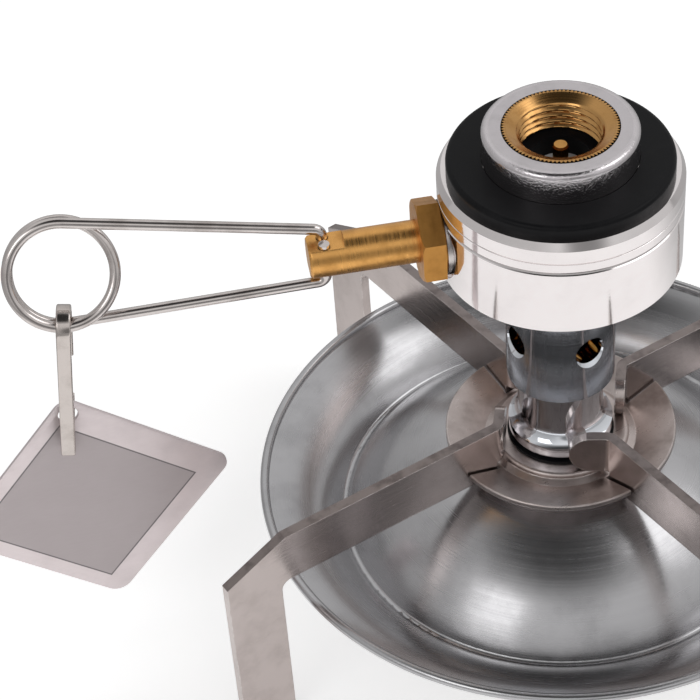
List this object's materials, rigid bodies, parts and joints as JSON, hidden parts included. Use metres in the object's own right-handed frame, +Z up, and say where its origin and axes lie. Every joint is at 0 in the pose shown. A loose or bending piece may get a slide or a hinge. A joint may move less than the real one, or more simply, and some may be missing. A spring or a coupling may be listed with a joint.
{
  "type": "butane camping stove burner",
  "caption": "Screw-on gas camping stove: wire-handled needle valve, perforated mixing tube, dished pan and folded-strip pot arms, shown standing inlet up.",
  "frame": {"origin": "on the inlet thread's axis, in the plane of the rubber gasket's sealing face", "axes": "+Z up out of the gas inlet, as the stove stands on its pot arms; the valve spindle and its handle point along -X"},
  "size_m": [0.1344, 0.0972, 0.082],
  "materials": {
    "turned_aluminium": "turned and polished",
    "collar_steel": "dull plated",
    "brass": "turned",
    "black_rubber": "matt",
    "sintered_bronze": "porous",
    "bright_wire": "bright drawn",
    "tag_steel": "satin with a printed panel",
    "fibre": "pressed fibre",
    "chromed_brass": "mirror chrome",
    "stainless": "satin pressed"
  },
  "bodies": {
    "burner": {"valve_body": "turned_aluminium", "inlet_collar": "collar_steel", "threaded_insert": "brass", "inlet_seal": "black_rubber", "pin_carrier": "collar_steel", "depressor_pin": "brass", "inlet_filter": "sintered_bronze", "sealing_gasket": "black_rubber", "gland_nut": "brass", "gland_washer": "collar_steel", "jet": "brass", "jet_seal": "fibre", "mixing_tube": "chromed_brass", "flange_washer": "black_rubber", "support_ring": "stainless", "pot_arm_1": "stainless", "pot_arm_2": "stainless", "pot_arm_3": "stainless", "pot_arm_4": "stainless", "burner_pan": "stainless", "burner_base": "brass", "burner_cap": "stainless", "burner_gauze": "stainless"},
    "spindle_seal": {"spindle_o_ring": "black_rubber"},
    "valve_handle": {"spindle": "brass", "handle_wire": "bright_wire"},
    "link": {"tag_link": "bright_wire"},
    "tag": {"tag_plate": "tag_steel"}
  },
  "joints": [
    {"name": "spindle_advance", "type": "slide", "parent": "burner", "child": "spindle_seal", "axis": [1, 0, 0], "range_m": [0, 0.00076]},
    {"name": "spindle_turn", "type": "hinge", "parent": "spindle_seal", "child": "valve_handle", "pos_m": [-0.025, 0, -0.0107], "axis": [1, 0, 0], "range_deg": [0, 270]},
    {"name": "link_swing", "type": "hinge", "parent": "valve_handle", "child": "link", "pos_m": [-0.06499, -0.00146, -0.0145], "axis": [0.9887, -0.1039, -0.1085], "range_deg": [-20, 20]},
    {"name": "tag_swing", "type": "hinge", "parent": "link", "child": "tag", "pos_m": [-0.06669, -0.00145, -0.03001], "axis": [0.1097, -0.994, 0], "range_deg": [-20, 20]}
  ],
  "couplings": [
    {"joint": "spindle_advance", "follows": "spindle_turn", "m_per_rad": 0.00015915}
  ]
}
